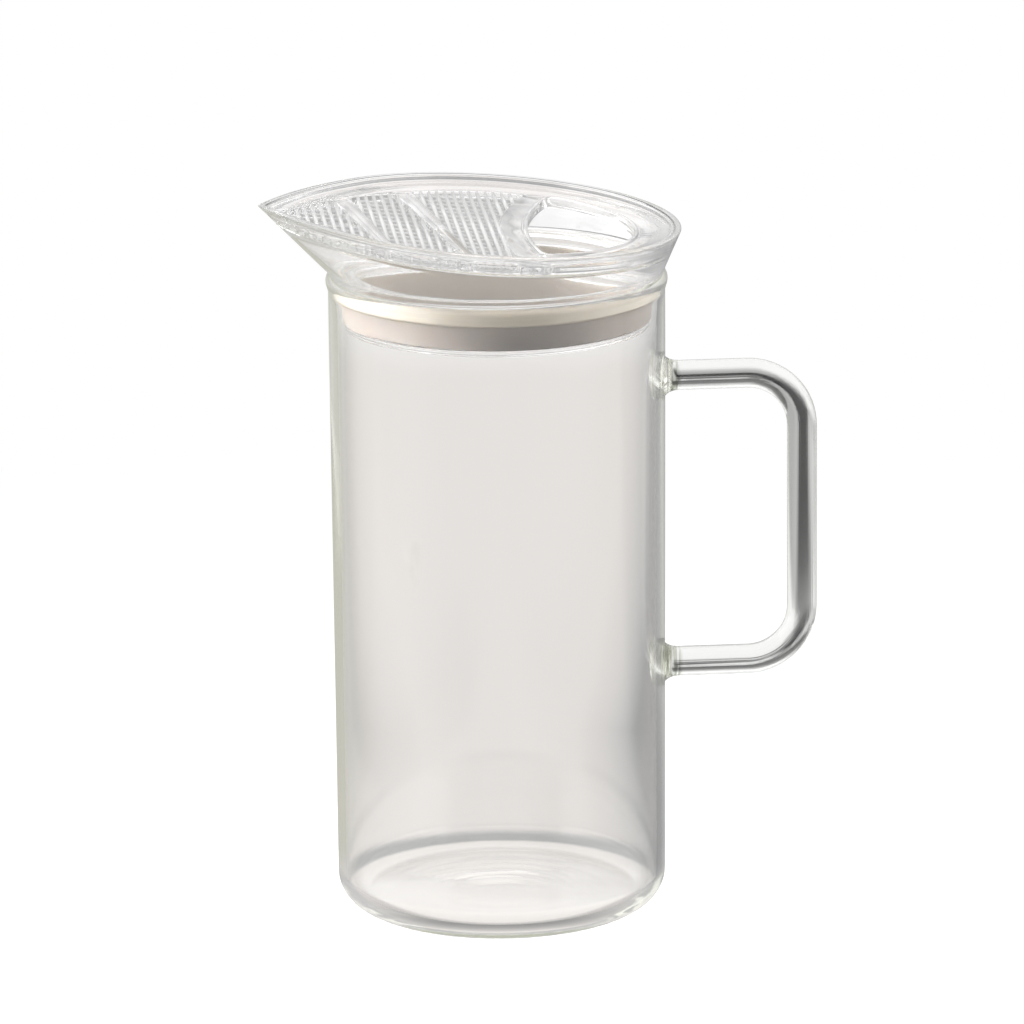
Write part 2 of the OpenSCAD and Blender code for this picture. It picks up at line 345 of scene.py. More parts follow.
handle = bmesh.new()
bmesh.ops.create_circle(
    handle, cap_ends=False, segments=rod_sides, radius=flare_radius(0),
    matrix=Matrix.Translation((wall_radius(high), 0, high)) @ Matrix.Rotation(math.pi / 2, 4, "Y"),
)
rod_end = list(handle.edges)
round_rod = handle.verts.layers.float_vector.new("round_rod")
for vert in handle.verts:
    vert[round_rod] = Vector((0, vert.co.y, vert.co.z - high)).normalized()
rod_end = flared(handle, rod_end, flare_outs)
rod_end = straight_bar(handle, rod_end, bend_x - (wall_radius(high) + weld_len), 0)
rod_end = bent(handle, rod_end, (bend_x, 0, high - bend_r), math.pi / 2)
rod_end = straight_bar(handle, rod_end, 0, -(high - low - 2 * bend_r))
rod_end = bent(handle, rod_end, (bend_x, 0, low + bend_r), math.pi / 2)
rod_end = straight_bar(handle, rod_end, wall_radius(low) + weld_len - bend_x, 0)
flared(handle, rod_end, flare_outs[::-1])
for vert in handle.verts:
    wall = wall_radius(vert.co.z)
    out = vert.co.x - wall_radius(high if vert.co.z > (high + low) / 2 else low)
    hug = max(0, 1 - out / weld_len)
    vert.co.x += hug * (math.sqrt(wall**2 - vert.co.y**2) - wall - weld_sink)
bmesh.ops.holes_fill(handle, edges=handle.edges, sides=0)

# Fine lines run along the rod from the drawing. The melted ends get painted shade in patchy
# rings, standing in for the darker refraction seen there.
# The rod's painted glow, for light led along inside it, is darker than the body's.
rod_glow = (0.31, 0.32, 0.30, 1)
line_scale, line_depth = 7.0, 0.00008
melted_x = (0.0402, 0.0390)
weld_shade_stretch, weld_shade_scale, weld_shade_range = (3.0, 0.5, 0.5), 260.0, (0.42, 0.58)
weld_shade_tone = (0.34, 0.36, 0.29, 1)

rod_glass = clear_glass.copy()
rod_glass.name = "rod_glass"
tree = rod_glass.node_tree
shader = next(node for node in tree.nodes if node.type == "BSDF_PRINCIPLED")
led_mix = next(node for node in tree.nodes if node.type == "MIX")
led_mix.inputs[7].default_value = rod_glow
waves = shader.inputs["Normal"].links[0].from_socket
across = joined(tree, "ShaderNodeAttribute", {}, attribute_name="round_rod").outputs["Vector"]
lines = joined(
    tree, "ShaderNodeTexNoise",
    {"Vector": across, "Scale": line_scale, "Detail": 2.0, "Roughness": 0.6},
)
bump = joined(
    tree, "ShaderNodeBump",
    {"Height": lines.outputs[0], "Strength": 1.0, "Distance": line_depth, "Normal": waves},
)
tree.links.new(bump.outputs["Normal"], shader.inputs["Normal"])
place = joined(tree, "ShaderNodeTexCoord", {}).outputs["Object"]
out = joined(tree, "ShaderNodeSeparateXYZ", {0: place}).outputs["X"]
# Painted shade: a patchy darker tone near the wall, in the melted ends.
weld_shade_noise = joined(
    tree, "ShaderNodeTexNoise",
    {"Vector": scaled(tree, place, weld_shade_stretch), "Scale": weld_shade_scale, "Detail": 1.0},
)
dark = ranged(tree, weld_shade_noise.outputs[0], *weld_shade_range)
share = sums(tree, "MULTIPLY", ranged(tree, out, *melted_x), dark)
tree.links.new(blend(tree, share, (1, 1, 1, 1), weld_shade_tone), shader.inputs["Base Color"])
finished(
    handle, "glass_handle", rod_glass, "jug", "clear_glass",
    "handle_rod", "upper_weld", "lower_weld",
)

# Gasket
# A ring of milky silicone moulded in one piece. It is stretched into the groove of the lid's plug,
# and the one lip at its top is pressed against the bore of the glass.
ring_bore, ring_r, lip_r = 31.75, 33.45, 34.55
ring_low = 132.35
lip_low, lip_high = 138.0, 140.6
ring_round, lip_round = 0.45, 0.6
bore_round = 0.2
ring_steps, bore_corner_steps = 6, 4
# The lip, and less so the inner face, get a painted glow that stands in for light passing through
# the milky silicone. The same share picks the lip's tone or the band's.
milk_dark, milk_pale = (0.53, 0.49, 0.43, 1), (0.59, 0.55, 0.49, 1)
band_tone, lip_painted_glow = (0.62, 0.56, 0.52, 1), (0.205, 0.183, 0.147)
lip_from = [z * MILLIMETRE for z in (lip_low - 0.5, lip_low + 0.1)]
skin_from = [r * MILLIMETRE for r in (ring_bore + 0.3, ring_r - 0.2)]
inner_shares = (0.35, 0.55)

gasket_outline = arc(ring_r - ring_round, ring_low + ring_round, ring_round, -90, 0, ring_steps)
gasket_outline += arc(ring_r + ring_round, lip_low - ring_round, ring_round, 180, 90, ring_steps)
gasket_outline += arc(lip_r - lip_round, lip_low + lip_round, lip_round, -90, 0, ring_steps)
gasket_outline += arc(lip_r - lip_round, lip_high - lip_round, lip_round, 0, 90, ring_steps)
bore_x = ring_bore + bore_round
gasket_outline += arc(bore_x, lip_high - bore_round, bore_round, 90, 180, bore_corner_steps)
gasket_outline += arc(bore_x, ring_low + bore_round, bore_round, 180, 270, bore_corner_steps)

silicone, tree = new_material("milky_silicone")
grain = joined(
    tree, "ShaderNodeGroup",
    {"Scale": 60.0, "Fine Scale": 2600.0, "Fine Share": 0.5, "Smooth": 0.34, "Dull": 0.5},
    node_tree=ripple,
)
place = joined(tree, "ShaderNodeTexCoord", {}).outputs["Object"]
cloud = joined(tree, "ShaderNodeTexNoise", {"Vector": place, "Scale": 55.0, "Detail": 3.0})
milk = blend(tree, cloud.outputs[0], milk_dark, milk_pale)
above = joined(tree, "ShaderNodeSeparateXYZ", {0: place}).outputs["Z"]
inside = joined(tree, "ShaderNodeMapRange", {
    "Value": above, "From Min": ring_low * MILLIMETRE, "From Max": lip_high * MILLIMETRE,
    "To Min": inner_shares[0], "To Max": inner_shares[1],
})
flat = scaled(tree, place, (1, 1, 0))
apart = joined(tree, "ShaderNodeVectorMath", {0: flat}, operation="LENGTH").outputs["Value"]
tone_and_glow_share = joined(tree, "ShaderNodeMix", {
    "Factor": ranged(tree, apart, *skin_from), "A": inside.outputs[0],
    "B": ranged(tree, above, *lip_from),
}).outputs["Result"]
# Painted glow of the lip and the inner face.
passed = joined(tree, "ShaderNodeVectorMath", {0: lip_painted_glow, "Scale": tone_and_glow_share}, operation="SCALE")
bump = joined(
    tree, "ShaderNodeBump",
    {"Height": grain.outputs["Height"], "Strength": 0.3, "Distance": 0.0001},
)
shader = joined(
    tree, "ShaderNodeBsdfPrincipled",
    {
        "Base Color": blend(tree, tone_and_glow_share, band_tone, milk), "Roughness": grain.outputs["Roughness"],
        "Normal": bump.outputs["Normal"], "IOR": 1.41,
        "Emission Color": (0, 0, 0, 1), "Emission Strength": 1.0,
        "Subsurface Weight": 0.25, "Subsurface Radius": (0.6, 0.5, 0.4), "Subsurface Scale": 0.002,
    },
)
tree.links.new(passed.outputs[0], shader.inputs["Emission Color"])
joined(tree, "ShaderNodeOutputMaterial", {"Surface": shader.outputs[0]})
finished(turned(gasket_outline, closed=True), "gasket", silicone, "seal", "silicone", "gasket")

# Lid funnel
# Clear moulded plastic: a round plug with a groove for the gasket, a flange that lies over the
# glass rim, and a thin wall that flares from the flange to a leaf-shaped rim with a pointed spout.
plug_low, groove_low, collar_low, seat_z, cavity_z = 130.9, 132.2, 140.75, 142.3, 143.8
throat_r, groove_r, keeper_r = 30.07, 31.67, 33.07
flange_mid = 143.05
funnel_t, edge_drop = 1.4, 0.25
ledge_w, ledge_depth = 1.2, 4.2
rim_z, rim_slope, leaf_shift = 154.6, math.radians(4.1), 1.2
rim_leaf = (41.4, 50.4, 95.0)
tip_round = 0.8
edge_round, plug_round = 0.4, 0.25
wall_rings = 10
facing_runs = ((0, 3.5, 30), (105, 2.25, 12), (132, 1.6, 14), (154.4, 2.56, 11))
edge_steps, plug_steps, groove_steps, seat_steps, throat_steps = 5, 4, 4, 3, 5
wall_last = 0.975
hollow_depths = (0.55, 1.3, 2.2, 3.1)
seat_round, seat_mid = 0.25, 0.07
ledge_round, ledge_mid = 0.3, 0.09

half_turn = [start + step * i for start, step, count in facing_runs for i in range(count)]
facings = [math.radians(a) for a in half_turn]
facings += [-a for a in facings[-2:0:-1]]


def leaf_point(leaf, inset, facing):
    """Point of a leaf's edge that faces an angle, with the edge drawn in and its tip rounded."""
    rear_r, tip, side_r = leaf
    beyond = side_r - rear_r
    turn = math.acos((side_r**2 - tip**2 - beyond**2) / (2 * tip * beyond))
    back = Vector((beyond * math.cos(turn), -beyond * math.sin(turn)))
    inner = side_r - inset - tip_round
    tip_x = back.x - math.sqrt(inner**2 - back.y**2)
    tip_facing = math.atan2(-back.y, tip_x - back.x)
    out = Vector((math.cos(abs(facing)), math.sin(abs(facing))))
    if abs(facing) <= math.pi - turn:
        point = out * (rear_r - inset)
    elif abs(facing) <= tip_facing:
        point = back + out * (inner + tip_round)
    else:
        point = Vector((tip_x, 0)) + out * tip_round
    return Vector((point.x, math.copysign(point.y, facing)))


def in_rim_plane(point, depth):
    """Places a point, drawn about the leaf's middle, in the rim's sloping plane or below it."""
    x = point.x - leaf_shift
    return Vector((
        x * math.cos(rim_slope) - depth * math.sin(rim_slope),
        point.y,
        rim_z - x * math.sin(rim_slope) - depth * math.cos(rim_slope),
    ))


def round_ring(radius, z):
    """A level circle with a point for each facing."""
    return [Vector((radius * math.cos(a), radius * math.sin(a), z)) for a in facings]


def leaf_ring(leaf, inset, depth):
    """A leaf in the plane of the rim with a point for each facing."""
    return [in_rim_plane(leaf_point(leaf, inset, a), depth) for a in facings]


def funnel_hollow(clear, depth):
    """Ring on the inside of the funnel at a depth below the rim, drawn in by a clearance."""
    top = leaf_ring(rim_leaf, funnel_t + clear, edge_drop)
    bottom = round_ring(mouth_r - funnel_t - clear, flange_mid + edge_drop)
    ring = []
    for high_point, low_point in zip(top, bottom):
        drop = depth_below_rim(low_point) - edge_drop
        ring.append(high_point.lerp(low_point, (depth - edge_drop) / drop))
    return ring


def depth_below_rim(point):
    """How far a point lies below the sloping plane of the rim."""
    return (rim_z - point.z) * math.cos(rim_slope) - point.x * math.sin(rim_slope)


def between(lower, upper, share):
    """The ring at a share of the way from one ring to another."""
    return [a.lerp(b, share) for a, b in zip(lower, upper)]


def lofted(rings, closed):
    """Draws a sleeve from ring to ring, and closes it on itself if asked."""
    bm = bmesh.new()
    station = bm.verts.layers.int.new("station")
    bmesh.ops.create_circle(bm, cap_ends=False, segments=len(facings), radius=1)
    bm.verts.ensure_lookup_table()
    for index, vert in enumerate(bm.verts):
        vert[station] = index
        vert.co = rings[0][index]
    ring = list(bm.edges)
    for points in rings[1:] + ([rings[0]] if closed else []):
        out = bmesh.ops.extrude_edge_only(bm, edges=ring)["geom"]
        for vert in (g for g in out if isinstance(g, bmesh.types.BMVert)):
            vert.co = points[vert[station]]
        ring = [g for g in out if isinstance(g, bmesh.types.BMEdge)]
    bmesh.ops.remove_doubles(bm, verts=bm.verts, dist=merge_apart)
    return bm


def plug_corner(r, z, start, end):
    """Points of a small rounding of the plug, between two angles in degrees."""
    return arc(r, z, plug_round, start, end, plug_steps)


def edge_corner(r, z, start, end):
    """Points of a larger rounding of the flange and the hollow."""
    return arc(r, z, edge_round, start, end, edge_steps)


outer_low = round_ring(mouth_r, flange_mid)
outer_high = leaf_ring(rim_leaf, 0, edge_round)
ledge_edge = funnel_hollow(ledge_w, ledge_depth + ledge_round)
inner_low = round_ring(mouth_r - funnel_t, cavity_z + edge_round)

groove_ends = (groove_r, groove_low + plug_round), (groove_r, collar_low - plug_round)
collar_ends = (keeper_r, collar_low + plug_round), (keeper_r, seat_z - plug_round)
seat_ends = (keeper_r + plug_round, seat_z), (mouth_r - edge_round, seat_z)
funnel_rings = [round_ring(r, z) for r, z in (
    plug_corner(throat_r + plug_round, plug_low + plug_round, 180, 270)
    + edge_corner(keeper_r - edge_round, plug_low + edge_round, -90, 0)
    + plug_corner(keeper_r - plug_round, groove_low - plug_round, 0, 90)
    + plug_corner(groove_r + plug_round, groove_low + plug_round, 270, 180)
    + run(*groove_ends, groove_steps)
    + plug_corner(groove_r + plug_round, collar_low - plug_round, 180, 90)
    + plug_corner(keeper_r - plug_round, collar_low + plug_round, -90, 0)
    + run(*collar_ends, seat_steps)
    + plug_corner(keeper_r + plug_round, seat_z - plug_round, 180, 90)
    + run(*seat_ends, seat_steps)
    + edge_corner(mouth_r - edge_round, seat_z + edge_round, -90, 0)
)]
wall_shares = [i / wall_rings for i in range(wall_rings)] + [wall_last, 1]
funnel_rings += [between(outer_low, outer_high, share) for share in wall_shares]
for step in range(1, edge_steps + 1):
    turn = math.radians(90 * step / edge_steps)
    inset = edge_round * (1 - math.cos(turn))
    funnel_rings.append(leaf_ring(rim_leaf, inset, edge_round * (1 - math.sin(turn))))
for step in range(edge_steps + 1):
    turn = math.radians(90 * step / edge_steps)
    inset = funnel_t - edge_round * (1 - math.sin(turn))
    funnel_rings.append(leaf_ring(rim_leaf, inset, edge_round * (1 - math.cos(turn))))
funnel_rings += [funnel_hollow(0, depth) for depth in hollow_depths]
funnel_rings += [funnel_hollow(clear, depth) for clear, depth in (
    (0, ledge_depth - seat_round), (seat_mid, ledge_depth - seat_mid), (seat_round, ledge_depth),
    (ledge_w - ledge_round, ledge_depth), (ledge_w - ledge_mid, ledge_depth + ledge_mid),
)]
funnel_rings += [between(ledge_edge, inner_low, i / wall_rings) for i in range(wall_rings + 1)]
cavity_r = mouth_r - funnel_t
funnel_rings += [round_ring(r, z) for r, z in (
    edge_corner(cavity_r - edge_round, cavity_z + edge_round, 0, -90)[1:]
    + run((cavity_r - edge_round, cavity_z), (throat_r + edge_round, cavity_z), seat_steps)
    + edge_corner(throat_r + edge_round, cavity_z - edge_round, 90, 180)
    + run((throat_r, cavity_z - edge_round), (throat_r, plug_low + plug_round), throat_steps)
)]
plastic_led, plastic_turns = (0.72, 0.72, 0.71), 17
clear_plastic = clear_material(
    "clear_plastic", ior=1.53, tint=(0.86, 0.86, 0.86), density=12.0,
    waves={"Scale": 60.0, "Stretch": 1.0, "Fine Scale": 1500.0, "Fine Share": 0.01, "Dull": 0.04},
    wave_depth=0.0003, led_shade=plastic_led, led_low=plastic_led, led_from=plastic_turns,
)
finished(
    lofted(funnel_rings, closed=True), "lid_funnel", clear_plastic, "lid", "clear_plastic",
    "lid_funnel",
)

# Strainer dish
# A second moulding of the same plastic, pressed into the funnel just under the rim. A sloping
# border leads down to a flat floor with three mesh panels, two veins, a band and a half-moon hole.
floor_leaf = (33.2, 47.2, 60.0)
dish_depth, plate_t, tray_clear = 2.2, 1.9, 0.1
tray_low = dish_depth + plate_t
brim_inset, brim_depth = 2.3, 0.3
border_inset, border_depth = 2.5, 1.5
border_ease = (
    (0, 0), (0.08, 0.12), (0.2, 0.27), (0.35, 0.44), (0.5, 0.6), (0.65, 0.74), (0.8, 0.87),
    (0.92, 0.96),
)
tray_depths = (tray_low, tray_low - 0.1, 3.0, 1.5, 0.58, 0.45)
brim_rings = (
    (funnel_t + 0.2, brim_depth), (brim_inset - 0.15, brim_depth),
    (brim_inset, brim_depth + 0.15), (brim_inset, brim_depth + 0.22),
    (border_inset - 0.2, border_depth - 0.32), (border_inset - 0.2, border_depth - 0.25),
)
mesh_margin = 0.8
vein_places, vein_slant = (-29.1, -13.4), math.radians(8.8)
vein_wide, vein_narrow = 4.8, 2.4
band_x, band_w, band_r, band_y = 0.2, 6.2, 100.0, -11.0
moon_r, moon_lip_h, moon_lip_w = 31.3, 0.7, 1.1
moon_bevel, moon_in, moon_down = 0.35, 0.12, 0.1
hole_round = 0.3
hole_mid = hole_round * 0.3
cut_steps, outline_step, least_points = 40, 0.6, 12
panel_passes, moon_passes = 3, 14
same_depth = 0.01

dish_rings = [funnel_hollow(tray_clear, depth) for depth in tray_depths]
dish_rings += [leaf_ring(rim_leaf, inset, depth) for inset, depth in brim_rings]
for across, down in border_ease:
    depth = border_depth + down * (dish_depth - border_depth)
    border_ring = leaf_ring(rim_leaf, border_inset, depth)
    dish_rings.append(between(border_ring, leaf_ring(floor_leaf, 0, depth), across))
dish_rings.append(leaf_ring(floor_leaf, 0, dish_depth))
dish = lofted(dish_rings, closed=False)


def vein_edge(x, side):
    """The two ends of one edge of a slanted vein, at the back and the front of the lid."""
    lean = math.tan(vein_slant) * rim_leaf[0]
    return (
        Vector((x - lean + side * vein_wide / 2 + leaf_shift, rim_leaf[0])),
        Vector((x + lean + side * vein_narrow / 2 + leaf_shift, -rim_leaf[0])),
    )


def behind_edge(point, edge):
    """How far a point lies on the handle's side of a slanted edge."""
    back, front = edge
    share = (back.y - point.y) / (back.y - front.y)
    return point.x - (back.x + (front.x - back.x) * share)


def band_edge(x, y):
    """Place along the lid of a curved edge of the band, for a place across it."""
    return x + leaf_shift + band_r - math.sqrt(band_r**2 - (y - band_y) ** 2)


def cut_outline(outline, depth_of, edge_x=None):
    """Keeps the part of a flat closed outline where a depth function is above zero. A curved cut
    gives the place of its edge along the lid for a place across it."""
    kept, gap, opens = [], None, []
    for here, after in zip(outline, outline[1:] + outline[:1]):
        a, b = depth_of(here), depth_of(after)
        if a >= 0:
            kept.append(here)
        if (a >= 0) != (b >= 0):
            kept.append(here.lerp(after, a / (a - b)))
            opens.append(kept[-1])
            gap = len(kept) if a >= 0 else gap
    if edge_x:
        start, end = (opens[0], opens[1]) if kept[gap - 1] is opens[0] else (opens[1], opens[0])
        across = [start.y + (end.y - start.y) * i / cut_steps for i in range(1, cut_steps)]
        kept[gap:gap] = [Vector((edge_x(y), y)) for y in across]
    return kept


def evened(outline, step):
    """Spreads the points of a flat closed outline at an even spacing."""
    loop = outline + outline[:1]
    lengths = [(b - a).length for a, b in zip(loop, loop[1:])]
    total = sum(lengths)
    count = max(least_points, round(total / step))
    points, edge, passed = [], 0, 0.0
    for i in range(count):
        goal = total * i / count
        while passed + lengths[edge] < goal:
            passed += lengths[edge]
            edge += 1
        points.append(loop[edge].lerp(loop[edge + 1], (goal - passed) / lengths[edge]))
    return points


def rounded(outline, passes):
    """Softens the corners of an evened outline by averaging neighbours."""
    for _ in range(passes):
        count = len(outline)
        outline = [
            (outline[i - 1] + outline[i] * 2 + outline[(i + 1) % count]) / 4 for i in range(count)
        ]
    return outline


def grown(outline, by):
    """Moves the points of a flat closed outline outwards."""
    count = len(outline)
    area = sum(a.cross(b) for a, b in zip(outline, outline[1:] + outline[:1]))
    points = []
    for i in range(count):
        along = (outline[(i + 1) % count] - outline[i - 1]).normalized()
        points.append(outline[i] + Vector((along.y, -along.x)) * math.copysign(by, area))
    return points


fine_turn = [math.radians(a * 0.5) for a in range(-360, 360)]
floor_edge = [leaf_point(floor_leaf, mesh_margin, a) for a in fine_turn]
vein_a, vein_b = vein_places
panels = [
    cut_outline(floor_edge, lambda p: -behind_edge(p, vein_edge(vein_a, -1))),
    cut_outline(
        cut_outline(floor_edge, lambda p: behind_edge(p, vein_edge(vein_a, 1))),
        lambda p: -behind_edge(p, vein_edge(vein_b, -1)),
    ),
    cut_outline(
        cut_outline(floor_edge, lambda p: behind_edge(p, vein_edge(vein_b, 1))),
        lambda p: band_edge(band_x, p.y) - p.x, lambda y: band_edge(band_x, y),
    ),
]
panels = [rounded(evened(panel, outline_step), panel_passes) for panel in panels]
moon_edge = [Vector((math.cos(a), math.sin(a))) * moon_r for a in fine_turn]
moon_x = band_x + band_w
moon = cut_outline(
    moon_edge, lambda p: p.x - band_edge(moon_x, p.y), lambda y: band_edge(moon_x, y),
)
moon = rounded(evened(moon, outline_step), moon_passes)


def flat_loop(bm, outline, depth):
    """Adds a closed loop of edges in a plane below the rim."""
    verts = [bm.verts.new(in_rim_plane(p, depth)) for p in outline]
    return [bm.edges.new(pair) for pair in zip(verts, verts[1:] + verts[:1])]


def sunk(bm, ring, outline, depth):
    """Draws a loop of edges on to another outline at a depth, and returns the loop there."""
    start = {edge.verts[0] for edge in ring} | {edge.verts[1] for edge in ring}
    out = bmesh.ops.extrude_edge_only(bm, edges=ring)["geom"]
    for vert in (g for g in out if isinstance(g, bmesh.types.BMVert)):
        old = next(e.other_vert(vert) for e in vert.link_edges if e.other_vert(vert) in start)
        vert.co = in_rim_plane(outline[old[station_layer]], depth)
    return [g for g in out if isinstance(g, bmesh.types.BMEdge)]


station_layer = dish.verts.layers.int.get("station")
top_rim = [edge for edge in dish.edges if edge.is_boundary and all(
    abs(depth_below_rim(v.co) - dish_depth) < same_depth for v in edge.verts
)]
low_rim = [edge for edge in dish.edges if edge.is_boundary and edge not in top_rim]
hole_tops, hole_lows = [], []
for outline, lip in [(panel, 0) for panel in panels] + [(moon, 1)]:
    if lip:
        lip_top = dish_depth - moon_lip_h
        steps = [
            (grown(outline, moon_lip_w + moon_bevel), dish_depth),
            (grown(outline, moon_lip_w + moon_down), dish_depth - moon_down),
            (grown(outline, moon_lip_w), dish_depth - moon_bevel),
            (grown(outline, moon_lip_w - moon_in), lip_top + moon_down),
            (grown(outline, moon_lip_w - moon_bevel), lip_top),
            (grown(outline, moon_bevel), lip_top),
            (grown(outline, moon_in), lip_top + moon_down),
            (outline, lip_top + moon_bevel),
        ]
    else:
        steps = [
            (grown(outline, hole_round), dish_depth),
            (grown(outline, hole_mid), dish_depth + hole_mid),
            (outline, dish_depth + hole_round),
        ]
    steps += [
        (outline, tray_low - hole_round),
        (grown(outline, hole_mid), tray_low - hole_mid),
        (grown(outline, hole_round), tray_low),
    ]
    ring = flat_loop(dish, *steps[0])
    for index, edge in enumerate(ring):
        edge.verts[0][station_layer] = index
    hole_tops += ring
    for next_outline, depth in steps[1:]:
        ring = sunk(dish, ring, next_outline, depth)
    hole_lows += ring
bmesh.ops.triangle_fill(dish, use_beauty=True, edges=top_rim + hole_tops)
bmesh.ops.triangle_fill(dish, use_beauty=True, edges=low_rim + hole_lows)
finished(dish, "strainer_dish", clear_plastic, "lid", "clear_plastic", "strainer_plate")

# Strainer mesh
# Two layers of thin bars moulded across each other in the panels of the dish: fine bars across the
# lid on top, wider rungs along it underneath, with the tea's holes between them.
bar_pitch, bar_w, rung_pitch, rung_w = 1.8, 0.75, 3.7, 1.1
layer_t = plate_t / 2
layer_gap, end_gap = 0.01, 0.02
bar_sides, bar_square = 12, 0.8


def chord(outline, axis, at):
    """Lowest and highest place where a straight line crosses a flat outline, or None."""
    hits = []
    for a, b in zip(outline, outline[1:] + outline[:1]):
        if (a[axis] - at) * (b[axis] - at) < 0:
            share = (at - a[axis]) / (b[axis] - a[axis])
            hits.append(a[1 - axis] + (b[1 - axis] - a[1 - axis]) * share)
    return (min(hits), max(hits)) if len(hits) > 1 else None


def add_bar(bm, axis, at, span, width, top):
    """Adds one rounded bar of the mesh, laid along the lid or across it."""
    start, end = span[0] + end_gap, span[1] - end_gap
    deep = layer_t - layer_gap
    made = bmesh.ops.create_circle(bm, cap_ends=True, segments=bar_sides, radius=0.5)["verts"]
    for vert in made:
        wide, tall = vert.co.x, vert.co.y
        square = 0.5 / max(abs(wide), abs(tall)) * bar_square + 1 - bar_square
        vert.co = (wide * square * width, tall * square * deep, 0)
    face = made[0].link_faces[0]
    far = bmesh.ops.extrude_face_region(bm, geom=[face], use_keep_orig=True)["geom"]
    far = [g for g in far if isinstance(g, bmesh.types.BMVert)]
    for verts, end_at in ((made, start), (far, end)):
        for vert in verts:
            flat = (at + vert.co.x, end_at) if axis == 0 else (end_at, at + vert.co.x)
            vert.co = in_rim_plane(Vector(flat), top + deep / 2 - vert.co.y)


strainer_mesh = bmesh.new()
for panel in panels:
    for axis, pitch, width, top in (
        (0, bar_pitch, bar_w, dish_depth),
        (1, rung_pitch, rung_w, dish_depth + layer_t + layer_gap),
    ):
        reach = int(rim_leaf[1] / pitch) + 1
        for count in range(-reach, reach + 1):
            span = chord(panel, axis, count * pitch)
            if span and span[1] - span[0] > width:
                add_bar(strainer_mesh, axis, count * pitch, span, width, top)
# The mesh is mostly milky, with a painted glow all over that stands in for light scattered inside
# it.
satin_plastic = clear_material(
    "satin_plastic", ior=1.40, tint=(0.95, 0.95, 0.94), density=40.0,
    waves={
        "Scale": 90.0, "Stretch": 1.0, "Fine Scale": 1200.0, "Fine Share": 0.03,
        "Smooth": 0.16, "Dull": 0.24,
    },
    wave_depth=0.0001, led_shade=plastic_led, led_low=plastic_led, led_from=plastic_turns,
    clear=0.2, tone=(0.52, 0.52, 0.515), painted_scatter_glow=0.22,
)
finished(strainer_mesh, "strainer_mesh", satin_plastic, "lid", "clear_plastic", "strainer_plate")

# Table, light and camera
# A pale table between two large softboxes, dark on the camera's side, under a white ceiling. The
# camera stands where the picture was taken from.
table_r, table_sides, table_drop = 40.0, 96, 0.0001
table_grey, table_lift, white_from = 0.5, 0.62, (0.12, 0.4)
view_turn, view_rise, view_roll = math.radians(5), math.radians(15.363), math.radians(0.525)
view_target, view_far = Vector((0, 0, 0.075)), 1.8
picture_px, focal_px = 1024, 8233.8
target_px = Vector((499.16, 569.39))

# Painted shades that clear pieces show of the table, by how far a place lies to the side of the
# view for its distance behind the object; the darker ground beside it stands in for its shadow.
# Places under it, before it and far behind it have shades of their own, and so has what the lid's
# back wall shows.
side_start, side_slope, side_least = 0.006, 0.245, 0.13
side_shades = (
    (-6.0, 0.72), (-2.5, 0.58), (-2.0, 0.58), (-1.5, 0.64), (-1.2, 0.71), (-1.0, 0.77),
    (-0.8, 0.82), (-0.55, 0.85), (-0.2, 0.79), (0.35, 0.79), (0.54, 0.79), (0.8, 0.67), (0.9, 0.60),
    (1.03, 0.48), (1.18, 0.34), (1.5, 0.27), (1.75, 0.24), (2.1, 0.22), (2.5, 0.28), (4.0, 0.56),
    (6.0, 0.72),
)
warm_from, warm_span, warm_green, warm_blue = 0.45, 0.33, 0.045, 0.07
under_shade, under_edge = 0.86, (0.028, 0.045)
front_shade, front_from = 0.85, (-0.05, -0.2)
far_shade, far_from = 0.34, (1.2, 2.0)
lid_shade, lid_far, lid_from = 0.95, 0.6, (0.47, 0.53)

# Two painted contact shadows round the foot, as dark half rings, one behind it and one before it.
# Each has its inner and outer edge, the soft end that also tells its half, its reach across the
# view and its shade.
foot_shades = (
    ((0.037, 0.0395), (0.050, 0.043), 0.01, 0.3, 0.42),
    ((0.0275, 0.0335), (0.044, 0.038), -0.01, 0.045, 0.31),
)

# Shades of the room, low and high, by degrees round from the camera, with the ceiling and the end
# of light that stays in a wall for many turns. Behind the object they grow with height, in one way
# for the rod and in another for the rest.
low_shades = (
    (-180, 1.0), (-140, 1.1), (-118, 2.0), (-50, 2.0), (-43, 0.10), (37, 0.10), (44, 1.5),
    (110, 1.5), (135, 1.0), (180, 1.0),
)
high_shades = (
    (-180, 1.4), (-135, 1.4), (-115, 2.2), (-55, 2.2), (-40, 1.1), (38, 1.1), (50, 1.6),
    (110, 1.6), (135, 1.4), (180, 1.4),
)
high_from = (0.29, 0.38)
ceiling_shade, ceiling_from, room_grey = 1.1, (0.8, 0.92), 0.5
led_sky, led_turns = 0.7, 5.5
horizon_rise = ((0.0, 0.34), (0.10, 0.42), (0.2, 0.75), (0.3, 1.0))
rod_rise = ((0.0, 0.12), (0.08, 0.14), (0.2, 0.19), (0.35, 0.48), (0.5, 1.0))
ahead_from = (0.5, 0.8)

# Light that reaches the milky gasket through the clear pieces: a strong left side, a weaker right
# side and a dim front.
seal_shades = (
    (-180, 0.4), (-102, 0.5), (-91, 24.0), (-72, 24.0), (-60, 0.07), (66, 0.07), (82, 4.4),
    (122, 4.4), (138, 0.5), (180, 0.4),
)
seal_top, seal_table = 1.2, 0.15
